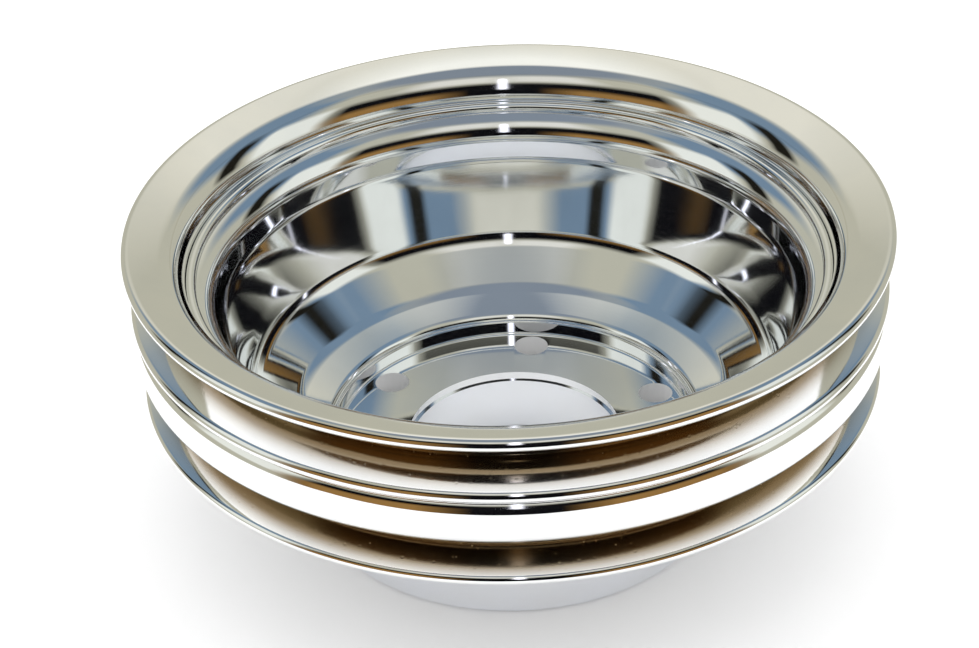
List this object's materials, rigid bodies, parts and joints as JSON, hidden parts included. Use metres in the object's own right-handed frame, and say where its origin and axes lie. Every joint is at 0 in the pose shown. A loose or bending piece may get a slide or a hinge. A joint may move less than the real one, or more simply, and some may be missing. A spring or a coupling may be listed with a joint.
{
  "type": "belt drive pulley",
  "caption": "Deep-dished chrome-plated sheet-steel V-belt pulley with twin belt grooves, a wide land, a thick bolt-on hub boss and a pilot bore.",
  "frame": {"origin": "centre of the mounting face, where the hub boss meets the shaft flange", "axes": "+Z along the shaft axis, from the mounting face towards the open front of the dish; +X and +Y lie across the pulley"},
  "size_m": [0.1728, 0.1728, 0.0743],
  "materials": {
    "chrome_sheet": "mirror-bright chrome plate on spun steel, faintly pitted in the belt grooves",
    "chrome_turned": "chrome plate over fine turning lines",
    "plated_weld": "rippled weld bead under thin plating"
  },
  "bodies": {
    "root": {"front_sheave": "chrome_sheet", "rear_sheave": "chrome_sheet", "dish": "chrome_sheet", "hub_boss": "chrome_turned", "lip_weld": "plated_weld", "neck_weld": "plated_weld", "hub_weld": "plated_weld"}
  },
  "joints": []
}
